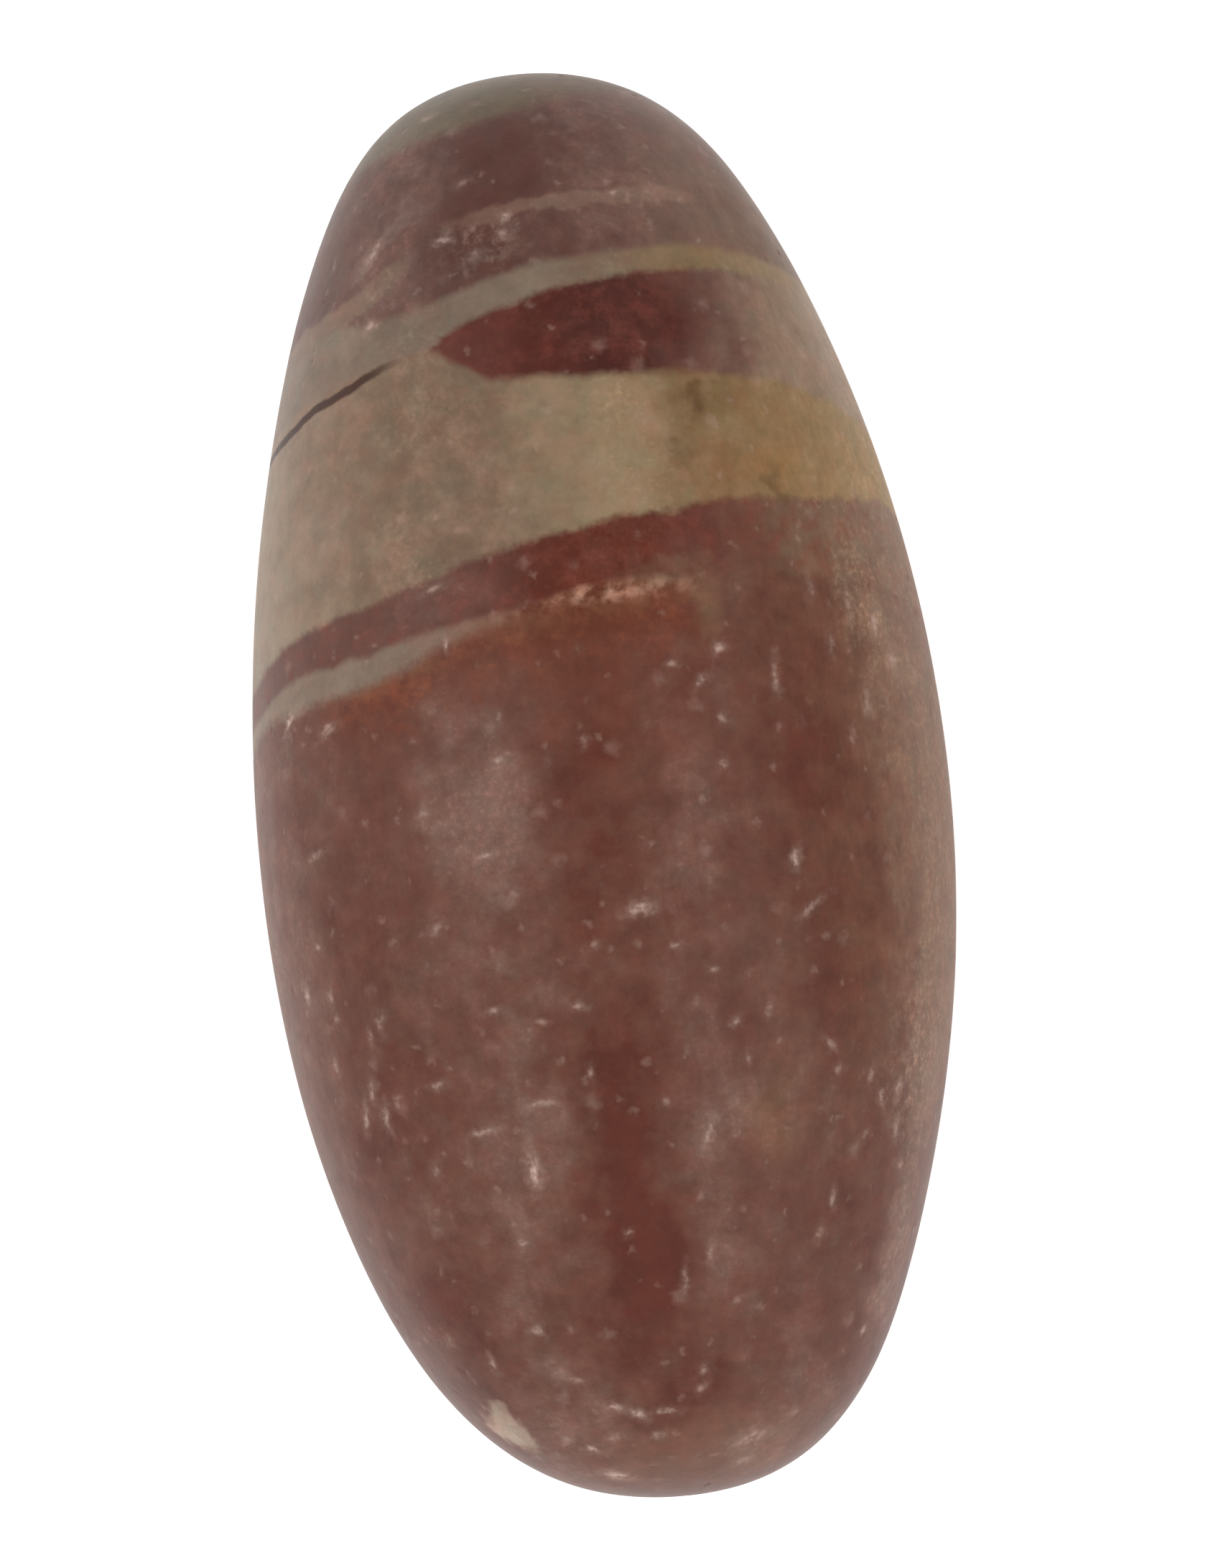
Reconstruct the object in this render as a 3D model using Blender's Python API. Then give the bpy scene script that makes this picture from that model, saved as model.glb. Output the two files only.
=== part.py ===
"""A shiva lingam: one egg-shaped pebble of banded jasper, rubbed smooth by a river and by hand.

Run it with blender --background --python part.py, or from the text editor. Metres, +Z up.
The stone lies on its flatter side on z = 0. Its long axis runs along Y and its slimmer end is at +Y.
"""

import math

import bmesh
import bpy
from mathutils import Vector, noise

# Driving dimensions
LENGTH = 0.100
HALF_LENGTH = LENGTH / 2
HALF_WIDTH = 0.0242
FLATNESS = 0.88
REST_FLAT_DEPTH = 0.00045

# The outline's character, as shares of the half-width. Place 0 is mid-length, +1 the slim tip.
TAPER = -0.050
BLUNTNESS = 0.257
BLUNTNESS_POWER = 6
SWAY = 0.0019

# Long soft flats left by rubbing the stone end to end, and the broad unevenness of any pebble
RUBBED_FLATS_DEPTH = 0.00028
RUBBED_FLATS_AROUND = 2.6
RUBBED_FLATS_ALONG = 0.55
UNEVENNESS_DEPTH = 0.00045
UNEVENNESS_SCALE = 1.15
RUBBING_PLACE = Vector((11.7, 16.3, 10.8))
UNEVENNESS_PLACE = Vector((11.4, 17.1, 8.4))

# Grid of the surface
CELLS_AROUND_A_SIDE = 20
CELLS_ALONG = 36

# Finish
JASPER_COLOUR = (0.150, 0.062, 0.045, 1.0)
JASPER_ROUGHNESS = 0.42


def clear_scene():
    """Removes whatever the scene holds."""
    for thing in list(bpy.data.objects):
        bpy.data.objects.remove(thing, do_unlink=True)


def runs_along(edge, axis):
    """Whether an edge of the box grid lies along this axis."""
    span = edge.verts[1].co - edge.verts[0].co
    return abs(span[axis]) > 0.5 * span.length


def ball_grid(cells_around_a_side, cells_along):
    """A box cut into a grid and blown up to a ball of radius 1, so that no edges crowd at a pole."""
    shape = bmesh.new()
    bmesh.ops.create_cube(shape, size=2.0)
    for axis, cells in ((0, cells_around_a_side), (1, cells_along), (2, cells_around_a_side)):
        edges = [edge for edge in shape.edges if runs_along(edge, axis)]
        bmesh.ops.subdivide_edges(shape, edges=edges, cuts=cells - 1, use_grid_fill=True)
    for vert in shape.verts:
        even = Vector([math.tan(part * math.pi / 4) for part in vert.co])
        vert.co = even.normalized()
    return shape


def half_width_at(place):
    """What the ball's radius becomes at this place along the axis: slimmer to +Y, with blunt tips."""
    return HALF_WIDTH * (1 + TAPER * place + BLUNTNESS * place**BLUNTNESS_POWER)


def relief_at(direction):
    """How far the surface stands in or out at this point of the ball."""
    around = Vector((direction.x, 0, direction.z)) * RUBBED_FLATS_AROUND
    along = Vector((0, direction.y, 0)) * RUBBED_FLATS_ALONG
    rubbed = noise.noise(around + along + RUBBING_PLACE)
    uneven = noise.noise(direction * UNEVENNESS_SCALE + UNEVENNESS_PLACE)
    return RUBBED_FLATS_DEPTH * rubbed + UNEVENNESS_DEPTH * uneven


def stone_point(direction):
    """The point of the stone's surface for this point of the ball."""
    radius = half_width_at(direction.y)
    from_axis = math.hypot(direction.x, direction.z)
    point = Vector((
        direction.x * radius + SWAY * direction.y * from_axis,
        direction.y * HALF_LENGTH,
        direction.z * radius * FLATNESS,
    ))
    outwards = Vector((
        direction.x / radius,
        direction.y / HALF_LENGTH,
        direction.z / (radius * FLATNESS),
    )).normalized()
    return point + outwards * relief_at(direction)


def set_down(shape):
    """Centres the stone over the origin, cuts the slight flat that it rests on, and puts it on z = 0."""
    low = Vector([min(vert.co[axis] for vert in shape.verts) for axis in range(3)])
    high = Vector([max(vert.co[axis] for vert in shape.verts) for axis in range(3)])
    centre = (low + high) / 2
    shift = Vector((-centre.x, -centre.y, -low.z - REST_FLAT_DEPTH))
    bmesh.ops.translate(shape, vec=shift, verts=shape.verts)
    everything = shape.verts[:] + shape.edges[:] + shape.faces[:]
    cut = bmesh.ops.bisect_plane(
        shape, geom=everything, plane_co=(0, 0, 0), plane_no=(0, 0, 1), clear_inner=True
    )
    rim = [part for part in cut["geom_cut"] if isinstance(part, bmesh.types.BMEdge)]
    bmesh.ops.edgeloop_fill(shape, edges=rim)
    bmesh.ops.recalc_face_normals(shape, faces=shape.faces)


def jasper():
    """The dull brick red that most of the stone is, rubbed to a low sheen."""
    material = bpy.data.materials.new("banded_jasper")
    material.use_nodes = True
    surface = material.node_tree.nodes["Principled BSDF"]
    surface.inputs["Base Color"].default_value = JASPER_COLOUR
    surface.inputs["Roughness"].default_value = JASPER_ROUGHNESS
    surface.inputs["Metallic"].default_value = 0.0
    return material


def make_stone():
    """The stone, which is one piece."""
    shape = ball_grid(CELLS_AROUND_A_SIDE, CELLS_ALONG)
    for vert in shape.verts:
        vert.co = stone_point(vert.co)
    set_down(shape)
    mesh = bpy.data.meshes.new("lingam_stone")
    shape.to_mesh(mesh)
    shape.free()
    mesh.shade_smooth()
    mesh.materials.append(jasper())
    stone = bpy.data.objects.new("lingam_stone", mesh)
    bpy.context.scene.collection.objects.link(stone)
    return stone


clear_scene()
make_stone()
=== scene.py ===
# %% [markdown]
# # A shiva lingam stone
#
# This is a lesson in dressing one small river stone. The imported solid already has the right size and the
# right egg shape. What it lacks is everything that makes a stone look like a stone: its coloured bands,
# the long pale streaks, partly frost that rubbing leaves and partly painted sheen, the soft gloss, and
# the hundreds of small nicks from years in a river bed. The steps below add them one at a time.

# %% Load the imported stone
import math
import random

import bmesh
import bpy
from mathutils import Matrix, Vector, kdtree, noise
from mathutils.bvhtree import BVHTree


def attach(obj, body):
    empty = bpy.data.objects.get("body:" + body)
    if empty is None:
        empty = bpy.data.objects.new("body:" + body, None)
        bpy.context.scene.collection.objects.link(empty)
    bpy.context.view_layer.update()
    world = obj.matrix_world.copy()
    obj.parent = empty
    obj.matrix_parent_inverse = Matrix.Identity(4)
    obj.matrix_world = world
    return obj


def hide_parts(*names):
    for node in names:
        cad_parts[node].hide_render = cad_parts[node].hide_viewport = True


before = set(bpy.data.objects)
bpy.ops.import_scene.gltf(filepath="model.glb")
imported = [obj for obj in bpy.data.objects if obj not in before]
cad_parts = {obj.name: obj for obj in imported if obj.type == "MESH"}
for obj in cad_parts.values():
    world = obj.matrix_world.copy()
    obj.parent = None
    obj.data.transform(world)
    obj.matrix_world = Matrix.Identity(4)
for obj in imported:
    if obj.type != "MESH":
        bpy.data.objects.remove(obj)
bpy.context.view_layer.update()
cad_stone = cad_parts["lingam_stone"]
MM = 0.001
print("packed stone, faces:", len(cad_stone.data.polygons))

# %% [markdown]
# ## The camera
#
# The stone lies on its flatter side and is looked at from straight above, with its slim end leaning a
# little to the left. A long lens from about half a metre keeps the outline as flat as a product picture
# has it. The camera could be aimed with a constraint, but two numbers and a turn are easier to check.

# %% Place the camera
# How much the picture's long side takes in at the stone's half height, in metres
FRAME_LONG_SIDE = 0.10909
LENS = 150
SENSOR = 36
MIDDLE_HEIGHT = 0.021
ASIDE = 0.0005
LEAN = math.radians(8)

camera_data = bpy.data.cameras.new("camera_above")
camera_data.lens = LENS
camera_data.sensor_width = SENSOR
camera_data.clip_start = 0.01
camera = bpy.data.objects.new("camera_above", camera_data)
height = MIDDLE_HEIGHT + FRAME_LONG_SIDE * LENS / SENSOR
camera.location = (ASIDE, 0.0, height)
camera.rotation_euler = (0, 0, -LEAN)
bpy.context.scene.collection.objects.link(camera)
bpy.context.scene.camera = camera
print("camera height in mm:", round(height / MM))

# %% [markdown]
# ## A finer skin
#
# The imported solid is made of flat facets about 2.5 mm across, which would show in the gloss. A copy of it
# is merged, its triangles are joined back into four-sided faces, and a Subdivision Surface rounds them.
# Sculpting a new pebble would also work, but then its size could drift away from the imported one.

# %% Copy the solid, merge it and round it
def smoothed_copy(node, name, levels):
    """A new object with the node's own shape, merged into one skin and subdivided."""
    shape = bmesh.new()
    shape.from_mesh(node.data)
    bmesh.ops.remove_doubles(shape, verts=shape.verts, dist=0.002 * MM)
    bmesh.ops.join_triangles(
        shape, faces=shape.faces,
        angle_face_threshold=math.radians(30), angle_shape_threshold=math.radians(50),
    )
    rough = bpy.data.meshes.new(name + "_rough")
    shape.to_mesh(rough)
    shape.free()
    helper = bpy.data.objects.new(name + "_rough", rough)
    bpy.context.scene.collection.objects.link(helper)
    rounding = helper.modifiers.new("rounding", "SUBSURF")
    rounding.levels = levels
    rounding.render_levels = levels
    graph = bpy.context.evaluated_depsgraph_get()
    mesh = bpy.data.meshes.new_from_object(helper.evaluated_get(graph))
    mesh.name = name
    bpy.data.objects.remove(helper)
    bpy.data.meshes.remove(rough)
    made = bpy.data.objects.new(name, mesh)
    bpy.context.scene.collection.objects.link(made)
    return made


stone = smoothed_copy(cad_stone, "banded_stone", levels=2)
print("smooth stone, faces:", len(stone.data.polygons))

# %% [markdown]
# ## Where the nicks are
#
# A tumbled stone carries small bruises: short grooves, round pocks and little crescents where it struck
# another stone. They are real dents, so they are made in the mesh. The ones that the eye finds first are
# listed one by one, each with its middle, its length and width in millimetres, its heading in degrees and
# how deep and how pale it is. A bend above zero makes it a crescent. The rest are scattered over the whole
# stone, the underside too, from a seeded random source, so that every run gives the same stone.

# %% List the nicks that are given one by one
# x, y, length, width, heading, depth, paleness, bend
PLACED_NICKS = [
    (1.6, -9.0, 1.7, 0.8, 5, 0.10, 1.00, 0.3),
    (-8.25, -25.9, 2.5, 0.8, 85, 0.12, 1.15, 0.0),
    (4.25, -25.0, 1.7, 0.5, 66, 0.08, 0.80, 0.1),
    (12.9, -7.0, 1.4, 0.6, 80, 0.09, 0.75, 0.5),
    (9.6, 8.2, 1.0, 0.7, 20, 0.10, 0.85, 0.4),
    (6.2, 7.7, 0.7, 0.5, 0, 0.07, 0.75, 0.0),
    (-8.5, -3.8, 1.3, 0.45, 5, 0.07, 0.75, 0.2),
    (-4.9, -43.1, 1.5, 0.5, -20, 0.08, 0.85, 0.3),
    (-3.4, -43.8, 1.4, 0.6, -38, 0.11, 1.10, 0.2),
    (-5.5, -47.8, 2.0, 0.6, -28, 0.10, 1.00, 0.1),
    (-6.9, -45.8, 1.1, 0.5, -15, 0.07, 0.85, 0.4),
    (4.2, -46.5, 2.4, 0.9, 0, 0.06, 0.60, 0.2),
    (12.9, -40.1, 0.8, 0.5, 20, 0.06, 0.70, 0.0),
    (-11.3, -22.8, 2.0, 0.45, 8, 0.07, 0.60, 0.1),
    (-7.0, -21.5, 2.0, 0.5, 4, 0.07, 0.55, 0.5),
    (-9.5, -14.6, 1.1, 0.5, 8, 0.06, 0.60, 0.2),
    (-3.6, -15.1, 1.0, 0.45, 0, 0.07, 0.65, 0.0),
    (-6.2, -15.8, 1.1, 0.4, 0, 0.04, 0.40, 0.2),
    (-3.4, -19.7, 0.9, 0.45, 80, 0.05, 0.50, 0.0),
    (-17.8, -20.8, 2.0, 0.55, 80, 0.09, 0.70, 0.7),
    (-19.3, -20.6, 2.2, 0.45, 68, 0.08, 0.65, 0.2),
    (-14.0, -19.2, 1.2, 0.5, 5, 0.05, 0.50, 0.2),
    (-17.3, -14.3, 1.3, 0.7, 60, 0.06, 0.45, 0.6),
    (-18.2, -15.2, 1.3, 0.45, 82, 0.05, 0.40, 0.3),
    (-20.6, -12.0, 1.2, 0.45, 85, 0.05, 0.45, 0.0),
    (-22.2, -11.6, 1.3, 0.5, 88, 0.06, 0.80, 0.0),
    (-20.4, -13.6, 0.8, 0.6, 40, 0.05, 0.45, 0.0),
    (-15.0, -24.9, 1.2, 0.7, 80, 0.05, 0.40, 0.2),
    (-9.7, -30.8, 0.7, 0.6, 30, 0.06, 0.55, 0.0),
    (-2.3, -31.1, 0.6, 0.5, 0, 0.05, 0.50, 0.0),
    (-1.9, -10.9, 0.8, 0.5, 10, 0.05, 0.45, 0.0),
    (-21.0, -8.5, 0.6, 0.5, 0, 0.05, 0.50, 0.0),
    (-12.5, -8.4, 1.4, 0.7, 30, 0.05, 0.45, 0.5),
    (-12.3, -0.3, 1.2, 0.5, 5, 0.04, 0.35, 0.2),
    (-20.2, -2.2, 1.6, 0.6, 10, 0.05, 0.45, 0.3),
    (-6.7, 2.7, 0.7, 0.5, 20, 0.06, 0.60, 0.0),
    (-0.6, 3.3, 0.7, 0.5, 20, 0.05, 0.50, 0.0),
    (9.2, 3.4, 0.8, 0.8, 0, 0.05, 0.45, 0.0),
    (8.2, 6.2, 1.4, 0.6, 25, 0.05, 0.45, 0.4),
    (8.8, 0.3, 0.7, 0.8, 0, 0.05, 0.45, 0.0),
    (13.3, 6.0, 2.6, 0.5, 84, 0.06, 0.45, 0.4),
    (12.9, 2.3, 0.6, 0.5, 60, 0.05, 0.25, 0.0),
    (-9.2, 11.2, 0.9, 0.35, 85, 0.06, 0.70, 0.1),
    (-9.5, 15.1, 1.4, 0.4, 10, 0.05, 0.50, 0.2),
    (-18.2, 6.4, 1.1, 0.6, 10, 0.06, 0.85, 0.2),
    (-20.7, 7.3, 1.3, 0.6, 35, 0.07, 1.05, 0.5),
    (20.6, 8.6, 1.9, 0.6, 80, 0.06, 0.55, 0.2),
    (21.4, 5.8, 1.6, 0.7, 84, 0.05, 0.50, 0.0),
    (13.5, -10.5, 2.4, 0.5, 26, 0.06, 0.45, 0.4),
    (3.7, -11.8, 0.9, 0.5, 5, 0.05, 0.45, 0.1),
    (6.1, -13.8, 0.7, 0.4, -5, 0.04, 0.50, 0.0),
    (7.1, -17.6, 0.7, 0.6, 20, 0.05, 0.55, 0.0),
    (9.6, -17.0, 1.6, 0.5, 75, 0.04, 0.35, 0.2),
    (7.6, -20.3, 0.7, 0.5, 80, 0.05, 0.45, 0.0),
    (1.6, -22.5, 0.7, 0.6, 0, 0.04, 0.40, 0.0),
    (13.5, -20.2, 1.2, 0.5, -50, 0.05, 0.45, 0.2),
    (13.8, -21.9, 0.9, 0.6, 0, 0.05, 0.45, 0.0),
    (16.4, -24.3, 1.2, 0.5, -60, 0.06, 0.60, 0.2),
    (17.8, -23.8, 1.2, 0.6, 30, 0.06, 0.65, 0.3),
    (15.0, -26.6, 0.7, 0.5, 10, 0.05, 0.35, 0.0),
    (17.1, -29.1, 0.6, 0.6, 0, 0.05, 0.45, 0.0),
    (12.1, -30.8, 1.3, 0.45, 88, 0.06, 0.55, 0.1),
    (10.9, -33.0, 1.2, 0.5, 55, 0.05, 0.40, 0.1),
    (1.2, -34.8, 2.1, 0.5, 84, 0.06, 0.45, 0.2),
    (3.2, -33.2, 1.2, 0.45, 84, 0.06, 0.55, 0.2),
    (-9.6, -37.1, 1.0, 0.5, -15, 0.07, 0.75, 0.5),
    (-13.0, -38.7, 1.3, 0.45, 80, 0.05, 0.60, 0.0),
    (-7.3, -40.8, 1.2, 0.5, -20, 0.05, 0.50, 0.1),
    (1.2, -42.5, 1.0, 0.5, 50, 0.05, 0.50, 0.0),
    (4.6, -36.8, 0.9, 0.5, 20, 0.04, 0.35, 0.1),
    (-11.3, 33.8, 1.0, 0.55, 5, 0.06, 0.80, 0.3),
    (-1.0, 40.1, 0.6, 0.5, 0, 0.06, 1.05, 0.0),
    (-5.5, 39.1, 1.1, 0.5, 0, 0.06, 0.85, 0.0),
    (-1.3, 39.0, 0.7, 0.7, 60, 0.04, 0.50, 0.0),
    (-10.4, 38.9, 2.8, 0.5, 46, 0.06, 0.55, 0.1),
    (-3.3, 37.8, 1.0, 0.6, -10, 0.05, 0.40, 0.0),
    (6.7, 40.7, 0.8, 0.4, 20, 0.04, 0.50, 0.0),
    (-3.6, 42.8, 1.2, 0.5, 20, 0.04, 0.30, 0.1),
    (-5.6, 47.6, 0.8, 0.5, 15, 0.05, 0.50, 0.0),
    (-8.6, 20.0, 0.6, 0.5, 0, 0.04, 0.40, 0.0),
    (-1.3, -43.8, 1.5, 0.5, -12, 0.05, 0.55, 0.1),
    (-5.2, -45.1, 1.2, 0.8, 30, 0.04, 0.35, 0.0),
    (-2.2, -45.4, 1.5, 0.7, 10, 0.04, 0.35, 0.1),
    (1.6, -41.2, 1.0, 0.6, 70, 0.04, 0.45, 0.0),
    (3.4, -48.0, 1.4, 0.6, 15, 0.04, 0.40, 0.2),
    (-8.6, -44.9, 1.0, 0.6, -30, 0.05, 0.45, 0.1),
    (7.4, -45.1, 0.8, 0.5, 40, 0.05, 0.50, 0.0),
    (-18.6, -18.9, 1.5, 0.5, 75, 0.06, 0.55, 0.4),
    (-17.0, -19.8, 0.9, 0.6, 40, 0.05, 0.45, 0.0),
    (-20.9, -16.7, 1.2, 0.5, 80, 0.05, 0.45, 0.2),
    (16.0, -22.6, 1.4, 0.5, 65, 0.05, 0.45, 0.2),
    (17.2, -26.5, 1.6, 0.5, 75, 0.05, 0.50, 0.1),
    (18.9, 10.5, 2.5, 0.5, 85, 0.03, 0.35, 0.1),
    (17.4, 7.5, 2.0, 0.5, 80, 0.03, 0.30, 0.2),
    (19.3, 3.5, 2.2, 0.5, 86, 0.03, 0.30, 0.0),
    (18.0, 1.0, 1.8, 0.5, 80, 0.03, 0.30, 0.2),
    (16.5, 11.5, 1.6, 0.5, 88, 0.03, 0.28, 0.0),
]
print("nicks placed by hand:", len(PLACED_NICKS))

# %% [markdown]
# ## Putting the nicks on the surface
#
# A ray from the camera finds where each listed nick sits and which way the surface faces there.
# Its sizes are as seen from above, so on the flank, where the surface slopes away, it's stretched to keep
# them. A scattered nick starts from a random direction instead. Each one becomes a small flat coordinate
# system, with one axis along the nick and one across it, which is all that the denting needs.

# %% Find the place and the axes of every nick
random.seed(27)
FINDER = BVHTree.FromObject(stone, bpy.context.evaluated_depsgraph_get())


def nick_at(point, normal, heading, length, width, depth, pale, bend):
    """One nick as a small coordinate system with its sizes in metres."""
    level = Vector((math.cos(heading), math.sin(heading), 0))
    along = (level - normal * level.dot(normal)).normalized()
    return {
        "point": point, "normal": normal, "along": along, "across": normal.cross(along),
        "length": length * MM, "width": width * MM, "depth": depth * MM, "pale": pale, "bend": bend,
    }


def seen_point(x, y):
    """The surface point, and its normal, that the camera sees at this place at the stone's half height."""
    sight = Vector((x * MM, y * MM, MIDDLE_HEIGHT)) - camera.location
    point, normal, _, _ = FINDER.ray_cast(camera.location, sight)
    return point, normal


nicks = []
for x, y, length, width, heading, depth, pale, bend in PLACED_NICKS:
    point, normal = seen_point(x, y)
    nick = nick_at(point, normal, math.radians(heading), length, width, depth, pale, bend)
    nick["length"] /= max(0.4, nick["along"].xy.length)
    nick["width"] /= max(0.4, nick["across"].xy.length)
    nicks.append(nick)

SCATTERED_NICKS = 320
# An egg a little larger than the stone, where the scattered ones start: its half sizes
HALF_WIDE, HALF_LONG, HALF_HIGH = 0.030, 0.055, 0.027
while len(nicks) < len(PLACED_NICKS) + SCATTERED_NICKS:
    direction = Vector((random.gauss(0, 1), random.gauss(0, 1), random.gauss(0, 1))).normalized()
    start = Vector((
        direction.x * HALF_WIDE, direction.y * HALF_LONG, MIDDLE_HEIGHT + direction.z * HALF_HIGH
    ))
    point, normal, _, _ = FINDER.find_nearest(start)
    size = 0.35 + 0.9 * random.random() ** 3
    slimness = 0.45 + 0.5 * random.random()
    # Fainter on the upper half, where the placed ones already are
    strength = 0.45 if point.z > 18 * MM else 1.0
    nicks.append(nick_at(
        point, normal, random.uniform(0, math.pi), size, size * slimness, 0.03 + 0.05 * random.random(),
        (0.15 + 0.4 * random.random() ** 2) * strength, random.uniform(-0.5, 0.5),
    ))
print("nicks in all:", len(nicks))

# %% [markdown]
# ## Finer faces where the nicks are
#
# A nick half a millimetre wide needs faces a few times smaller than that, but the whole stone at that
# size would be millions of faces. So only the edges near a nick are cut in two, longest first, until they
# are short enough there. Each cut also parts the two triangles beside the edge, so the skin stays closed
# and is triangles all through. The Subdivide operator is quicker, but leaves odd flat slivers behind.

# %% Cut the edges near the nicks
REACH = 1.25
FACES_ACROSS_A_NICK = 2.8
SHORTEST_EDGE = 0.16 * MM
ROUNDS = 3

shape = bmesh.new()
shape.from_mesh(stone.data)
bmesh.ops.triangulate(shape, faces=shape.faces)
places = kdtree.KDTree(len(nicks))
for number, nick in enumerate(nicks):
    places.insert(nick["point"], number)
places.balance()
FARTHEST = max(nick["length"] for nick in nicks) * REACH


def wanted_edge(point):
    """How long an edge may be here: up to a metre, so any length, where no nick is near."""
    wanted = 1.0
    for _, number, distance in places.find_range(point, FARTHEST):
        nick = nicks[number]
        if distance < nick["length"] / 2 * REACH + 0.1 * MM:
            wanted = min(wanted, nick["width"] / FACES_ACROSS_A_NICK)
    return max(wanted, SHORTEST_EDGE)


def cut_in_two(edge):
    """Cuts an edge at its middle, and each triangle beside it from there to its far corner."""
    beside = list(edge.link_faces)
    _, middle = bmesh.utils.edge_split(edge, edge.verts[0], 0.5)
    for face in beside:
        corner = next(loop for loop in face.loops if loop.vert is middle)
        bmesh.utils.face_split(face, middle, corner.link_loop_next.link_loop_next.vert)


for _ in range(ROUNDS):
    long_edges = [
        edge for edge in shape.edges
        if edge.calc_length() > wanted_edge((edge.verts[0].co + edge.verts[1].co) / 2)
    ]
    for edge in sorted(long_edges, key=bmesh.types.BMEdge.calc_length, reverse=True):
        cut_in_two(edge)
print("faces after the cuts:", len(shape.faces))
print("edges that don't join two faces:", sum(len(edge.link_faces) != 2 for edge in shape.edges))

# %% [markdown]
# ## Uneven rubbing, then the dents
#
# Rubbing by hand leaves a surface that is smooth but never quite even, so the points first move in or out
# by a few hundredths of a millimetre. Then each nick presses its points inwards, with a soft round
# profile that is steeper on one side, as a knock leaves it. How pale a point is goes into an attribute of
# the mesh, which the material reads later: most in the nick itself, partly broken stone and partly a
# painted highlight on its edges, with a weak dusty rim around it.

# %% Move the points
# How wide each wave is and how far it goes in and out, in millimetres
WAVES = ((9.0, 0.030), (3.5, 0.014), (1.4, 0.006))
RESTING_FLAT = 0.3 * MM


def unevenness(point):
    """How far the rubbed surface stands in or out here, longer along the stone than across it."""
    place = Vector((point.x, point.y * 0.45, point.z)) / MM
    return sum(noise.noise(place / size + Vector((size, 3, 7))) * height for size, height in WAVES) * MM


def press(nick, point):
    """How deep the nick is at this point, and how pale it leaves it: partly broken stone, partly painted
    highlight.
    """
    away = point - nick["point"]
    a = away.dot(nick["along"]) / (nick["length"] / 2)
    b = away.dot(nick["across"]) / (nick["width"] / 2) - nick["bend"] * (1 - a * a)
    reach = (a * a + b * b) * (1 + 0.9 * noise.noise(point / (0.42 * MM)))
    deep = max(0.0, 1 - reach) ** 1.5 * (1 + 0.5 * b)
    crushed_and_glinting = max(0.0, 1 - reach / REACH) ** 1.5 * (1 - 0.35 * a)
    dusty = max(0.0, 1 - reach / 5) ** 2 * 0.30
    return deep * nick["depth"], max(crushed_and_glinting, dusty) * nick["pale"]


shape.normal_update()
shape.verts.ensure_lookup_table()
# How pale each point is: partly broken stone, partly painted highlight
scuff_and_glint = shape.verts.layers.float.new("scuff_and_glint")
moves = []
for vert in shape.verts:
    inwards = 0.0
    for _, number, _ in places.find_range(vert.co, FARTHEST):
        deep, pale = press(nicks[number], vert.co)
        inwards = max(inwards, deep)
        vert[scuff_and_glint] = max(vert[scuff_and_glint], pale)
    rubbed = 0.0 if vert.co.z < RESTING_FLAT else unevenness(vert.co)
    moves.append((rubbed - inwards, vert.normal.copy()))
for vert, (move, normal) in zip(shape.verts, moves):
    vert.co += normal * move
shape.to_mesh(stone.data)
shape.free()
stone.data.shade_smooth()
print("deepest nick in mm:", max(nick["depth"] for nick in nicks) / MM)

# %% [markdown]
# ## A short way to write a material
#
# A stone like this needs many shader nodes. Written out one by one they would bury the idea, so this
# small helper adds a node, wires its inputs and hands back its output. After it, a finish reads like the
# list of steps that it is. All its sizes are in millimetres.

# %% A helper for shader nodes
# Curves and ramps across the stone run from this far left to this far right, in millimetres
HALF_SPAN = 26.0


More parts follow.
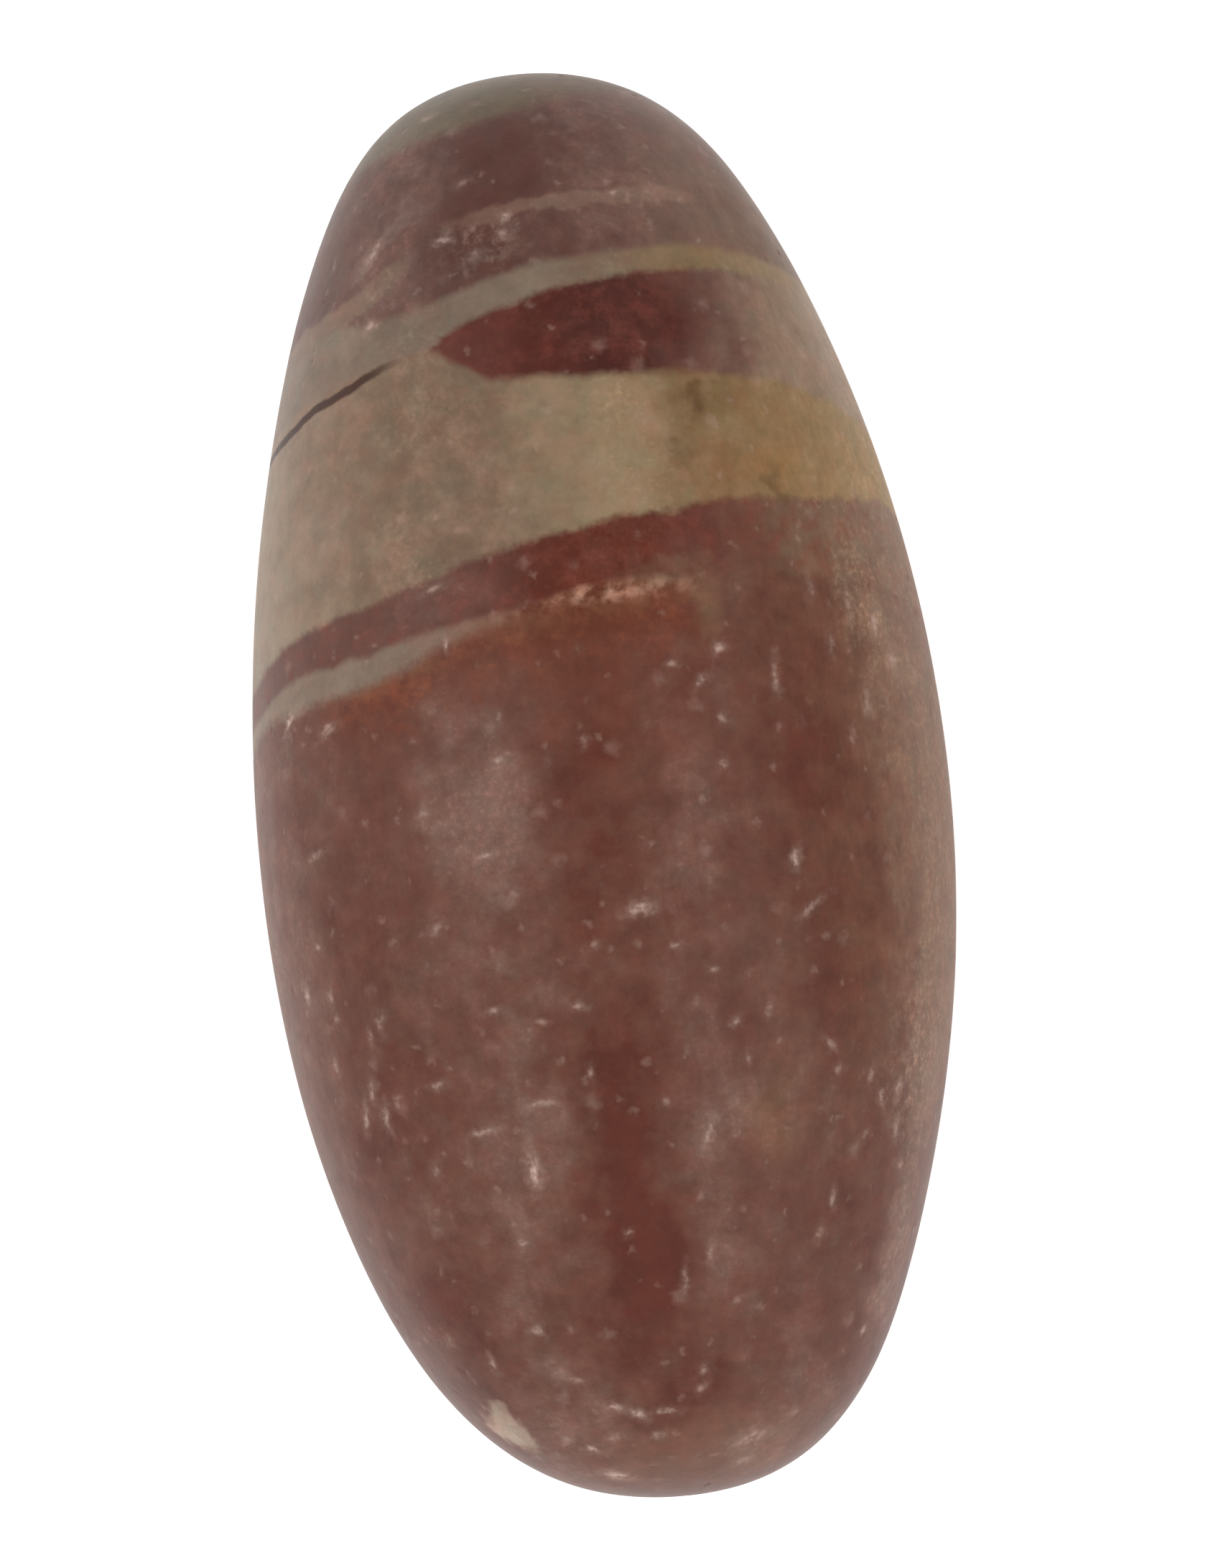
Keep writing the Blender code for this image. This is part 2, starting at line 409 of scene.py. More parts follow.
class Recipe:
    """Adds shader nodes to a new material and wires them as it goes."""

    def __init__(self, name):
        self.material = bpy.data.materials.new(name)
        self.material.use_nodes = True
        self.tree = self.material.node_tree
        self.surface = self.tree.nodes["Principled BSDF"]

    def feed(self, socket, value):
        """Wires an output to this socket, or sets its value."""
        if isinstance(value, bpy.types.NodeSocket):
            self.tree.links.new(value, socket)
        else:
            socket.default_value = value

    def node(self, kind, inputs, output=0, **settings):
        """A new node, fed, and the output that is wanted."""
        made = self.tree.nodes.new(kind)
        for key, value in settings.items():
            setattr(made, key, value)
        for key, value in inputs.items():
            self.feed(made.inputs[key], value)
        return made.outputs[output]

    def sums(self, operation, a, b=0.0, clamp=False):
        """One sum on two values."""
        return self.node("ShaderNodeMath", {0: a, 1: b}, operation=operation, use_clamp=clamp)

    def swing(self, value, amount):
        """Random values from 0 to 1 made to swing about zero by this amount in all."""
        return self.sums("MULTIPLY", self.sums("SUBTRACT", value, 0.5), amount)

    def total(self, *parts):
        """All the parts added up."""
        result = parts[0]
        for part in parts[1:]:
            result = self.sums("ADD", result, part)
        return result

    def product(self, *parts):
        """All the parts multiplied."""
        result = parts[0]
        for part in parts[1:]:
            result = self.sums("MULTIPLY", result, part)
        return result

    def spread(self, value, low, high, to_low=0.0, to_high=1.0):
        """Eases from to_low to to_high while the value goes from low to high."""
        return self.node(
            "ShaderNodeMapRange",
            {"Value": value, "From Min": low, "From Max": high, "To Min": to_low, "To Max": to_high},
            interpolation_type="SMOOTHSTEP",
        )

    def bump_at(self, value, middle, half_width, soft):
        """1 where the value is near the middle, falling to 0 on both sides."""
        away = self.sums("ABSOLUTE", self.sums("SUBTRACT", value, middle))
        return self.spread(away, half_width, half_width + soft, 1.0, 0.0)

    def mix(self, share, under, over, how="MIX"):
        """One colour laid over another by this share."""
        return self.node(
            "ShaderNodeMix", {0: share, 6: under, 7: over}, 2, data_type="RGBA", blend_type=how
        )

    def grain(self, place, size, detail=2.0, roughness=0.5):
        """Soft random values from about 0.2 to 0.8, with blots of this size."""
        return self.node(
            "ShaderNodeTexNoise",
            {"Vector": place, "Scale": 1 / size, "Detail": detail, "Roughness": roughness},
        )

    def stretched(self, place, across=1.0, along=1.0, up=1.0, shift=(0.0, 0.0, 0.0)):
        """The place scaled on each axis, so that a pattern on it is drawn out."""
        return self.node(
            "ShaderNodeMapping",
            {"Vector": place, "Location": shift, "Scale": (across, along, up)},
        )

    def drawn_line(self, across, points):
        """Where a line drawn through these points lies, at this place across the stone."""
        low = min(y for _, y in points) - 1
        high = max(y for _, y in points) + 1
        share = self.node(
            "ShaderNodeMapRange", {"Value": across, "From Min": -HALF_SPAN, "From Max": HALF_SPAN}
        )
        made = self.tree.nodes.new("ShaderNodeFloatCurve")
        self.feed(made.inputs["Value"], share)
        line = made.mapping.curves[0]
        scaled = [((x + HALF_SPAN) / (2 * HALF_SPAN), (y - low) / (high - low)) for x, y in points]
        while len(line.points) < len(scaled):
            line.points.new(0.5, 0.5)
        for point, place in zip(line.points, sorted(scaled)):
            point.location = place
        made.mapping.extend = "HORIZONTAL"
        made.mapping.update()
        return self.node(
            "ShaderNodeMapRange", {"Value": made.outputs[0], "To Min": low, "To Max": high}
        )


jasper = Recipe("banded_jasper_finish")
print("nodes to start with:", len(jasper.tree.nodes))

# %% [markdown]
# ## The bedding
#
# The bands are beds of mud, laid down flat one on another before they turned to stone, so on the pebble
# they are slices through a solid and not rings painted on it. The beds dip about 18 degrees: seen from
# above, each edge bows towards the slim end and then runs down the sides and round the back. One number,
# called bed here, says how far along the stone a point is once the dip is taken off. On the visible side
# it's kept clean; underneath, slow noise bends the beds more, as they wander in any real stone. Two
# noises, a coarse and a fine one, are also set up here, because many of the steps below read them.

# %% Measure every point against the beds
DIP = 0.32
MIDDLE_IN_MM = round(MIDDLE_HEIGHT / MM)
objects = jasper.node("ShaderNodeTexCoord", {}, 3)
place = jasper.node(
    "ShaderNodeMapping",
    {"Vector": objects, "Location": (0, 0, -MIDDLE_IN_MM), "Scale": (1 / MM, 1 / MM, 1 / MM)},
)
axes = jasper.tree.nodes.new("ShaderNodeSeparateXYZ")
jasper.feed(axes.inputs[0], place)
across, along, up = axes.outputs

below = jasper.spread(up, 3.0, -9.0)
ragged = jasper.total(
    jasper.swing(jasper.grain(place, 2.8, 3.0, 0.6), 1.0),
    jasper.swing(jasper.grain(place, 0.60, 2.0, 0.5), 0.50),
)
wander = jasper.product(below, jasper.swing(jasper.grain(place, 16.0, 1.0), 9.0))
calm_bed = jasper.total(along, jasper.product(up, -DIP), wander)
bed = jasper.total(calm_bed, ragged)
MOTTLE_SIZE = 2.4
SPECKLE_SIZE = 1.5
mottle = jasper.grain(place, MOTTLE_SIZE, 5.0, 0.72)
speckle = jasper.grain(place, SPECKLE_SIZE, 4.0, 0.7)
print("beds dip, degrees:", round(math.degrees(math.atan(DIP))))

# %% [markdown]
# ## The edges of the beds
#
# The beds are laid in the order in which they settled, from the blunt end of the stone to the slim one.
# Each has a lower edge, drawn as a few points across the stone, and covers all that lies beyond it. That
# is one Mix node per bed, which is easier to follow than a single ramp, and lets every edge have its own
# bend. The dark lens in the middle is a bed too: it thins out to a point towards the left.

# %% Draw the lower edge of each bed
EDGES = {
    "grey_seam": [
        (-21.6, 4.8), (-17.5, 3.9), (-13.5, 3.7), (-9.6, 4.5), (-5.7, 5.2), (0, 5.7), (6, 5.8), (20, 7.0),
    ],
    "red_band": [
        (-21.6, 6.0), (-19.5, 6.4), (-15.5, 5.8), (-7.6, 5.9), (-2, 6.3), (2, 6.9), (7.7, 7.0), (20, 7.8),
    ],
    "tan_band": [
        (-21.7, 8.8), (-17.5, 9.4), (-13.5, 9.2), (-9.6, 9.5), (-5.7, 10.2), (0, 10.8), (4, 11.4),
        (7.7, 11.6), (9.6, 12.2), (13.5, 12.6), (17.5, 13.1), (21.7, 14.9),
    ],
    "dark_lens": [
        (-8.5, 26.1), (-7.1, 25.8), (-6.0, 24.8), (-4.6, 23.8), (-3.0, 22.5), (0, 22.2), (3.9, 21.6),
        (9.7, 21.6), (16.0, 21.5), (19.7, 21.0),
    ],
    "thin_seam": [
        (-8.5, 26.1), (-7.0, 26.2), (-5.8, 26.9), (-1.9, 27.8), (1.9, 28.6), (5.8, 29.0), (9.7, 29.5),
        (17.8, 30.1),
    ],
    "maroon_bed": [
        (-19, 32.6), (-16.5, 31.9), (-14, 31.1), (-12.3, 30.0), (-11, 29.4), (-8.5, 29.3), (-4, 30.0),
        (0, 30.7), (3.9, 30.9), (7.8, 31.2), (11.7, 31.6), (17, 31.6),
    ],
    "tan_cap": [(-9.9, 43.2), (-5.9, 42.9), (-2, 43.3), (2, 44.0), (5.9, 45.2), (8.5, 46.4)],
}
lines = {name: jasper.drawn_line(across, points) for name, points in EDGES.items()}
print("edges drawn:", len(EDGES))

# %% [markdown]
# ## The beds' own colours
#
# No bed has one colour. The tan one goes from grey at the left through cream to ochre where iron has
# stained it, and the lens is wine red in the middle and worn pale at the right. A Color Ramp per bed,
# read across the stone, gives these changes, and noise pushes its place to and fro so that no change
# follows a straight line.

# %% Choose how each bed's colour changes across the stone
BODY = (.126, .048, .033, 1.0)
RUST = (.114, .027, .013, 1.0)
BED_COLOURS = {
    "grey_seam": [(-20, (.215, .154, .114)), (-12, (.190, .134, .100)), (-8, (.190, .112, .078)),
                  (-4, (.215, .108, .070)), (2, (.440, .228, .157)), (6.5, (.235, .108, .070)),
                  (9, (.140, .070, .046)), (13, (.125, .050, .034))],
    "red_band": [(-18, (.125, .056, .043)), (-10, (.112, .044, .033)), (-2, (.092, .020, .010)),
                 (5, (.102, .019, .009)), (10, (.118, .034, .023)), (15, (.149, .080, .058)),
                 (20, (.165, .092, .070))],
    "tan_band": [(-20, (.258, .188, .134)), (-14, (.198, .129, .086)), (-5, (.166, .103, .065)),
                 (0, (.232, .161, .099)), (4, (.264, .186, .107)), (7, (.237, .155, .084)),
                 (9.5, (.198, .118, .058)), (13, (.208, .124, .061)), (19, (.244, .150, .078))],
    "dark_lens": [(-6, (.103, .026, .017)), (0, (.076, .015, .009)), (4, (.056, .010, .007)),
                  (8, (.068, .015, .010)), (12, (.117, .051, .040)), (16, (.214, .135, .107)),
                  (20, (.242, .163, .134))],
    "thin_seam": [(-16, (.205, .148, .110)), (-9, (.168, .120, .088)), (0, (.172, .126, .091)),
                  (7, (.183, .121, .077)), (12, (.180, .115, .060)), (17, (.226, .150, .099))],
    "maroon_bed": [(-12, (.118, .060, .048)), (-7, (.098, .046, .036)), (-2, (.091, .038, .030)),
                   (5, (.098, .044, .034)), (12, (.150, .085, .066))],
    "tan_cap": [(-9, (.140, .108, .079)), (0, (.113, .079, .049)), (6, (.118, .070, .045))],
}
pushed = jasper.total(across, jasper.swing(jasper.grain(place, 3.6, 3.0, 0.6), 8.0))
sideways = jasper.node(
    "ShaderNodeMapRange", {"Value": pushed, "From Min": -HALF_SPAN, "From Max": HALF_SPAN}
)


def across_colours(stops):
    """A colour that changes across the stone: each stop is a place in millimetres and a colour."""
    made = jasper.tree.nodes.new("ShaderNodeValToRGB")
    jasper.feed(made.inputs["Fac"], sideways)
    ramp = made.color_ramp
    while len(ramp.elements) < len(stops):
        ramp.elements.new(0.5)
    for element, (x, shade) in zip(ramp.elements, stops):
        element.position = (x + HALF_SPAN) / (2 * HALF_SPAN)
        element.color = (*shade, 1.0)
    return made.outputs[0]


print("bed colours:", sum(len(stops) for stops in BED_COLOURS.values()))

# %% [markdown]
# ## Blots inside the stone
#
# Stains, worn patches and pale inclusions are soft balls in the solid. Each is placed by what the camera
# sees: a ray finds the surface point, and the ball's middle sits there. So the mark has depth and stays
# put when the stone is turned over. Noise added to the place keeps it from being round.

# %% A mask for one blot
def on_vectors(operation, a, b=(0.0, 0.0, 0.0), output=0):
    """One sum on two places."""
    return jasper.node("ShaderNodeVectorMath", {0: a, 1: b}, output, operation=operation)


def shaken(size, detail, amount):
    """The place, moved about by noise of this size."""
    pattern = {"Vector": place, "Scale": 1 / size, "Detail": detail}
    random_place = jasper.node("ShaderNodeTexNoise", pattern, 1)
    about_zero = on_vectors("SUBTRACT", random_place, (0.5, 0.5, 0.5))
    return on_vectors("ADD", place, on_vectors("MULTIPLY", about_zero, (amount,) * 3))


SHAKE_SIZE = 1.9
shaken_place = shaken(SHAKE_SIZE, 3.0, 4.5)


def blot(x, y, wide, long, soft=0.8):
    """1 inside a blot of this size around the surface point seen from above at x, y, and 0 outside."""
    point, _ = seen_point(x, y)
    centre = (point.x / MM, point.y / MM, point.z / MM - MIDDLE_IN_MM)
    away = on_vectors("SUBTRACT", shaken_place, centre)
    in_radii = on_vectors("MULTIPLY", away, (2 / wide, 2 / long, 2 / wide))
    return jasper.spread(on_vectors("LENGTH", in_radii, output=1), 1 + soft / 2, 1 - soft)


print("blots are shaken by noise of this size in mm:", SHAKE_SIZE)

# %% [markdown]
# ## Streaks, worn patches and painted sheen
#
# The maker rubs the stone end to end, so the big maroon bed shows long soft streaks: pale mauve ones,
# partly frost on the surface and partly painted sheen from its long rubbed flats, and deeper red ones
# between them. Their places across the stone are drawn as one line, whose high ends paint the paler sheen
# of both rims. Blots add the patches that no streak explains; the big pale ones on the right flank are
# painted sheen too. Noise breaks all of it up. Below the widest part the line would mirror what is above,
# so there noise takes over.

# %% Work out the streaks
# How pale the streaks are across the stone; the high values at both ends paint the sheen of the rims
STREAKS = [
    (-24, 1.3), (-21, .52), (-17, .32), (-14, .38), (-11, .64), (-8.5, .70), (-6, .54), (-4, .38),
    (-2, .18), (0, .22), (2.5, .50), (5, .64), (7, .56), (10, .36), (12, .28), (14, .20), (16.5, .30),
    (19, .52), (22, 1.1),
]
# x, y, wide, long, how much paler with frost and painted sheen (below zero, how much deeper red); the big
# pale ones on the right flank paint its sheen
WORN_AND_SHEEN_PATCHES = [
    (-8, 0, 8, 10, 0.35),
    (-2.2, -33, 7, 20, -0.48),
    (-2, -21, 5, 11, -0.42),
    (-14.5, -37, 7, 16, -0.35),
    (5, -13, 6, 8, -0.35),
    (13.5, 1, 5, 14, -0.36),
    (14, -25, 5, 6, 0.30),
    (18, -11, 4, 10, -0.35),
    (21.8, -12, 4, 12, 0.60),
    (20, -22, 6, 20, 1.32),
    (15.5, -36, 6, 15, 1.12),
    (17.0, -31, 4, 7, 0.50),
    (9, -44, 8, 6, 0.25),
    (-13, -42, 5, 7, 0.15),
    (20.5, 11, 5, 12, 0.55),
    (9, -24, 5, 6, 0.25),
    (4, -39, 8, 12, -0.12),
    (-14, -26, 5, 7, 0.15),
    (-8.5, 42, 6, 5, -0.15),
    (-9, -11, 6, 8, -0.20),
    (-19, -24, 4, 9, -0.45),
    (17, -3, 6, 8, -0.15),
    (9, 41, 5, 8, 0.40),
    (3, 46, 7, 4, -0.25),
    (-1, -37, 34, 22, -0.10),
]
lengthwise = jasper.stretched(place, along=0.16)
streak_line = jasper.drawn_line(across, STREAKS)
streak_noise = jasper.grain(lengthwise, 3.4, 2.0, 0.55)
streaks_below = jasper.spread(streak_noise, 0.3, 0.7, 0.1, 0.7)
streaks = jasper.total(
    jasper.node("ShaderNodeMix", {0: below, 2: streak_line, 3: streaks_below}, 0),
    jasper.swing(streak_noise, 0.5),
    jasper.swing(jasper.grain(lengthwise, 1.1, 2.0, 0.6), 0.3),
    jasper.swing(jasper.grain(place, 5.0, 2.0, 0.6), 1.1),
    jasper.swing(jasper.grain(place, 2.0, 5.0, 0.75), 1.15),
)
for x, y, wide, long, amount in WORN_AND_SHEEN_PATCHES:
    streaks = jasper.total(streaks, jasper.product(blot(x, y, wide, long, 0.95), amount))
# The pale streaks, partly frost and partly painted sheen, and the deeper red between them
frost_and_sheen = jasper.spread(streaks, 0.30, 1.20)
deep_red_streaks = jasper.spread(streaks, 0.45, -0.25)
print("streaks drawn across the stone:", len(STREAKS), "and worn patches:", len(WORN_AND_SHEEN_PATCHES))

# %% [markdown]
# ## Laying the beds down
#
# The body comes first, with its streaks and a fringe of rust below the grey seam; its pale streaks are
# partly frost and partly painted sheen. Then each bed covers what lies beyond its edge. A bed takes part of
# the pale and deeper red streaks too, so that they run on over the edges, as wear does on a real stone that
# was rubbed after the beds had long turned hard.

# %% Lay the beds
# The colour of the pale streaks: partly frost, partly painted sheen
FROST_AND_SHEEN_MAUVE = (.205, .120, .096, 1.0)
DEEP_RED = (.093, .021, .013, 1.0)
SOFT_EDGE = {"tan_cap": 0.75, "grey_seam": 0.65, "maroon_bed": 0.45, "dark_lens": 0.50}
# How much of the pale streaks, frost and painted sheen, and of the deeper red each bed takes
FROST_AND_SHEEN_SHARE = {"maroon_bed": 0.60, "tan_cap": 0.15, "red_band": 0.30, "dark_lens": 0.12}
# Which noise draws the blotches of a second colour, how strong they are, and that colour
BLOTCHES = {
    "red_band": (speckle, 0.60, (.160, .042, .028)),
    "tan_band": (mottle, 0.40, (.250, .160, .114)),
    "dark_lens": (speckle, 0.75, (.118, .030, .020)),
}


def beyond(name):
    """How far past the bed's lower edge a point lies, in millimetres."""
    return jasper.sums("SUBTRACT", bed, lines[name])


# The body's pale streaks, partly frost and partly painted sheen, and the deeper red between them
colour = jasper.mix(jasper.product(frost_and_sheen, 0.75), BODY, FROST_AND_SHEEN_MAUVE)
colour = jasper.mix(jasper.product(deep_red_streaks, 0.85), colour, DEEP_RED)
fringe = jasper.product(
    jasper.spread(beyond("grey_seam"), -7.0, -0.8),
    jasper.spread(across, -20.0, -14.0), jasper.spread(across, 11.0, 6.0),
)
orange_fringe = jasper.product(
    jasper.spread(beyond("grey_seam"), -2.2, -0.3),
    jasper.spread(jasper.grain(place, 1.6, 3.0, 0.6), 0.35, 0.6),
    jasper.spread(across, -19.0, -15.0), jasper.spread(across, 9.0, 5.0),
)
rust_blotches = jasper.spread(speckle, 0.46, 0.66)
colour = jasper.mix(jasper.product(fringe, 0.85), colour, RUST)
colour = jasper.mix(jasper.product(fringe, rust_blotches, 0.60), colour, (.186, .055, .025, 1.0))
colour = jasper.mix(jasper.product(orange_fringe, 0.50), colour, (.195, .074, .037, 1.0))
for name in EDGES:
    soft = SOFT_EDGE.get(name, 0.40)
    covers = jasper.spread(beyond(name), -soft, soft)
    if name == "dark_lens":
        covers = jasper.product(covers, jasper.spread(across, -7.7, -6.9))
    if name == "grey_seam":
        gaps = jasper.product(
            jasper.spread(across, -8.0, -3.0), jasper.spread(jasper.grain(place, 1.2, 3.0), 0.64, 0.36)
        )
        covers = jasper.product(covers, jasper.sums("SUBTRACT", 1.0, gaps))
    bed_colour = across_colours(BED_COLOURS[name])
    if name in BLOTCHES:
        pattern, share, shade = BLOTCHES[name]
        blotches = jasper.spread(pattern, 0.42, 0.70)
        if name == "dark_lens":
            blotches = jasper.product(blotches, jasper.spread(across, 12.0, 8.0))
        bed_colour = jasper.mix(jasper.product(blotches, share), bed_colour, (*shade, 1.0))
    # The bed takes its share of the frost and painted sheen, and of the deeper red
    if name in FROST_AND_SHEEN_SHARE:
        share = FROST_AND_SHEEN_SHARE[name]
        bed_colour = jasper.mix(jasper.product(frost_and_sheen, share), bed_colour, FROST_AND_SHEEN_MAUVE)
        bed_colour = jasper.mix(jasper.product(deep_red_streaks, share * 0.6), bed_colour, DEEP_RED)
    colour = jasper.mix(covers, colour, bed_colour)
print("beds laid:", len(EDGES))

# %% [markdown]
# ## Thin lines, stains and patches
#
# A few marks belong to no bed: a dark hairline that runs from the lens to the edge, a faint pale stripe
# in the maroon near the tip, two pale lobes beside it, ochre and brown iron stains in the tan, a mottled
# patch, and one patch of pale stone near the blunt end. Pale flecks on the right flank are painted sheen.
# Lines follow the beds, so they are drawn in the same way as the edges; the rest are blots. The right
# flank is a little more olive than the left one.

# %% Masks for the thin lines
def stripe(points, half_width, soft, first, last, fade=1.5, unsteady=1.0):
    """1 on a line drawn through the beds, from one place across the stone to another."""
    line = jasper.drawn_line(across, points)
    wiggle = jasper.swing(jasper.grain(place, 1.8, 3.0), unsteady)
    on_line = jasper.bump_at(jasper.total(calm_bed, wiggle), line, half_width, soft)
    drawn = jasper.product(
        on_line, jasper.spread(across, first - fade, first), jasper.spread(across, last + fade, last)
    )
    return jasper.spread(drawn, 0.12, 0.88)


HAIRLINE = [(-20, 24.9), (-17.8, 24.9), (-15.7, 25.3), (-13.7, 25.3), (-11.7, 25.7), (-9.1, 25.9)]
FAINT_STRIPE = [(-3.9, 34.7), (0, 35.3), (5.8, 35.3), (9.8, 35.9), (13.8, 35.5)]
LEFT_LOBE = [(-15.3, 31.3), (-12.2, 31.4), (-10.7, 31.8), (-9.3, 32.5), (-7.3, 33.3), (-5.8, 33.9)]
UPPER_LOBE = [(-12.3, 33.5), (-11.1, 34.3), (-10, 35.2), (-7.8, 36.6), (-6.8, 37.4)]
hairline = stripe(HAIRLINE, 0.08, 0.52, -21.0, -13.5, 7.0, 0.40)
faint_stripe = stripe(FAINT_STRIPE, 0.10, 1.00, -2.5, 10.0, 4.0, 1.6)
left_lobe = stripe(LEFT_LOBE, 0.30, 1.10, -15.5, -11.0, 5.0, 1.6)
upper_lobe = stripe(UPPER_LOBE, 0.15, 0.90, -11.0, -8.0, 2.0, 1.6)
pitted = blot(-3.2, 38.4, 7.0, 4.6, 0.95)
print("lines drawn through the beds: 4")

# %% Paint them
flecks = jasper.spread(jasper.grain(place, 0.9, 3.0, 0.7), 0.42, 0.72)
# Each mark is a mask and a colour, and lies over those before it
marks = [
    # The faint stripe, the two lobes and the pale patch beside them
    (jasper.product(faint_stripe, 0.58), (.208, .124, .092)),
    (jasper.product(left_lobe, 0.85), (.197, .126, .092)),
    (jasper.product(upper_lobe, 0.45), (.205, .130, .108)),
    (jasper.product(blot(-7.4, 41.6, 3.6, 2.0, 0.95), 0.45), (.185, .118, .098)),
    # The mottled patch near the tip, with dark stains there and at the blunt end
    (jasper.product(pitted, 0.50), (.085, .036, .026)),
    (jasper.product(pitted, flecks, 0.75), (.215, .140, .110)),
    (jasper.product(blot(-5.3, 37.6, 1.8, 3.4, 0.95), 0.60), (.070, .024, .016)),
    (jasper.product(blot(-4.3, -44.3, 2.0, 1.6, 0.95), 0.60), (.080, .026, .019)),
    # The hairline
    (jasper.product(hairline, 0.95), (.044, .016, .010)),
    # Ochre and brown iron stains in the tan band
    (jasper.product(blot(10.4, 25.2, 5.5, 5.0), 0.65), (.172, .100, .044)),
    (jasper.product(blot(10.3, 26.0, 2.8, 2.2), 0.80), (.100, .050, .019)),
    (jasper.product(blot(9.1, 22.1, 1.8, 1.4), 0.40), (.120, .062, .025)),
    (jasper.product(blot(11.0, 20.5, 5.0, 3.5), 0.45), (.205, .102, .044)),
    (jasper.product(blot(15.0, 18.8, 1.6, 3.4), 0.65), (.120, .056, .024)),
    (jasper.product(blot(15.0, 20.6, 5.5, 3.0), 0.50), (.265, .135, .055)),
    # A redder place below the grey seam, a paler one in the tan and a browner one in the body
    (jasper.product(blot(3.0, 5.0, 14.0, 11.0), 0.50), (.126, .034, .020)),
    (jasper.product(blot(-16.0, 20.0, 7.0, 6.0), 0.30), (.225, .150, .112)),
    (jasper.product(blot(9.0, -24.5, 4.0, 9.0), 0.40), (.165, .078, .034)),
    # The patch of pale stone, and the warmer blunt end
    (jasper.product(blot(-12.2, -43.8, 4.4, 5.2, 0.5), 0.85), (.375, .265, .200)),
    (jasper.product(blot(1.0, -47.0, 18.0, 7.0), 0.40), (.205, .102, .064)),
    # Where the grey seam fades out at the right
    (jasper.product(blot(9.2, 11.4, 2.6, 5.0, 0.95), 0.55), (.190, .108, .062)),
    (jasper.product(blot(6.5, 14.2, 6.0, 1.6, 0.95), 0.35), (.200, .122, .075)),
    # Pale flecks on the right flank, painted sheen in grains
    (jasper.product(blot(19.6, 10.5, 5.5, 11.0, 0.95), flecks, 0.45), (.330, .225, .180)),
    (jasper.product(blot(18.6, -23.0, 6.0, 13.0, 0.95), flecks, 0.40), (.330, .225, .180)),
]
for share, shade in marks:
    colour = jasper.mix(share, colour, (*shade, 1.0))
olive_side = jasper.product(jasper.spread(across, 6.0, 19.0), jasper.spread(along, -38.0, -10.0), 0.85)
colour = jasper.mix(olive_side, colour, (1.0, 0.97, 0.72, 1.0), "MULTIPLY")
print("marks painted:", len(marks))

# %% [markdown]
# ## Mottling, rubbing lines and bruises
#
# Close up, jasper is a crowd of grains that differ in lightness and in redness, so two noises multiply
# the colour: one lightens and darkens it, one turns it warmer or greyer. A fine grain lightens the pale
# streaks, frost and painted sheen alike. Fine lines along the stone, left by the rubbing, show most on
# the right flank, where they also paint the grain of its sheen. Small soft pale dots lie over that, partly
# pale specks and partly painted glints of chips. The nicks were dented before; here they turn pale as
# well, partly because broken stone scatters light and partly as a painted highlight on their edges.

# %% Mottle the colour and draw the rubbing lines
# Where the lines show: most on the right flank, where they paint the grain of its sheen as well as rubbing
flank = jasper.product(
    jasper.spread(jasper.sums("ABSOLUTE", across), 9.0, 19.0, 0.25, 1.0),
    jasper.spread(across, -12.0, 6.0, 0.15, 1.0),
)
lengthwise_lines = jasper.stretched(place, along=0.15, shift=(7.0, 2.0, 4.0))
rubbing_and_sheen_lines = jasper.grain(lengthwise_lines, 0.42, 3.0, 0.65)
# A fine grain over the pale streaks, frost and painted sheen alike
fine_frost_and_sheen = jasper.product(frost_and_sheen, jasper.spread(jasper.grain(place, 0.45, 3.0, 0.65), 0.46, 0.70))
light = jasper.total(
    1.0,
    jasper.swing(mottle, 0.88),
    jasper.product(flank, jasper.swing(rubbing_and_sheen_lines, 0.42)),
    jasper.product(fine_frost_and_sheen, 0.38),
)
elsewhere = jasper.stretched(place, shift=(40.0, 0.0, 0.0))
warmth = jasper.swing(jasper.grain(elsewhere, 2.0, 4.0, 0.68), 0.42)
redder = jasper.product(light, jasper.total(1.0, jasper.product(warmth, 0.7)))
duller = jasper.product(light, jasper.total(1.0, jasper.product(warmth, -0.6)))
shades = jasper.node("ShaderNodeCombineColor", {0: redder, 1: duller, 2: duller})
colour = jasper.mix(1.0, colour, shades, "MULTIPLY")
print("mottling from", MOTTLE_SIZE, "mm down")

# %% Add the pale dots and the bruises, with their painted glints
# Pale dots: partly pale specks in the stone, partly painted glints of small chips
PALE_SPECK_AND_GLINT = (.440, .305, .255, 1.0)
# Spacing and radius in millimetres, then strength
SPECKS_AND_GLINTS = ((2.1, 0.42, 0.20), (4.3, 0.80, 0.18))
bumpy_place = shaken(0.7, 2.0, 1.1)
for spacing, radius, strength in SPECKS_AND_GLINTS:
    nearest = jasper.node("ShaderNodeTexVoronoi", {"Vector": bumpy_place, "Scale": 1 / spacing})
    dot = jasper.spread(nearest, radius / spacing, 0.0)
    colour = jasper.mix(jasper.product(dot, strength), colour, PALE_SPECK_AND_GLINT)
# Pale nicks: partly broken stone, partly a painted highlight where their edges catch the light
BRUISE_AND_GLINT = (.560, .405, .345, 1.0)
bruise_and_glint = jasper.node("ShaderNodeAttribute", {}, 2, attribute_name="scuff_and_glint")
broken_up = jasper.spread(jasper.grain(place, 0.40, 2.0, 0.6), 0.28, 0.70, 0.22, 1.0)
crushed_and_glinting = jasper.product(bruise_and_glint, broken_up)
colour = jasper.mix(jasper.sums("MULTIPLY", crushed_and_glinting, 0.95, True), colour, BRUISE_AND_GLINT)
jasper.feed(jasper.surface.inputs["Base Color"], colour)
print("sizes of pale dots:", len(SPECKS_AND_GLINTS))

